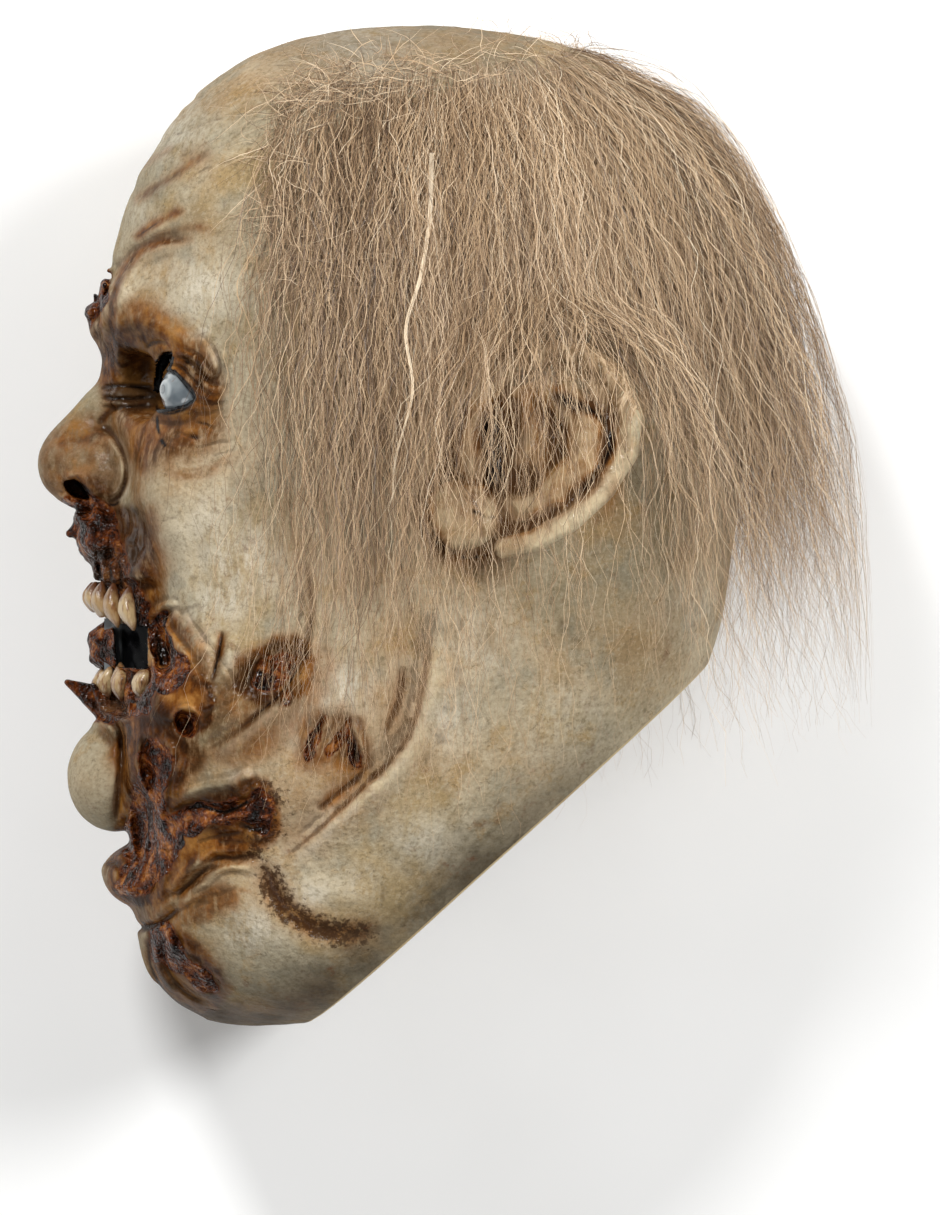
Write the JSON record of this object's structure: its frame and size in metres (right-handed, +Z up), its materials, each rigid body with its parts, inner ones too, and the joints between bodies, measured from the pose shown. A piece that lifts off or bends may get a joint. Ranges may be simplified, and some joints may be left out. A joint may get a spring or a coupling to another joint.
{
  "type": "zombie mask",
  "caption": "Full-head latex zombie mask with a decayed face, torn mouth, pressed ears and long thin hair round a bald crown, laid on its right side.",
  "frame": {"origin": "middle of the flat spot on the right cheek, on which the mask lies", "axes": "+X from the face to the back of the head, +Y from the chin to the crown, +Z up through the left cheek"},
  "size_m": [0.3072, 0.375, 0.2428],
  "materials": {
    "latex": "painted latex, bone and olive with burnt brown washes, semi-gloss and wet-looking at the wounds",
    "hair": "fine dull synthetic hair, pale brown with lighter strands"
  },
  "bodies": {
    "root": {"mask_skin": "latex", "hair": "hair"}
  },
  "joints": []
}
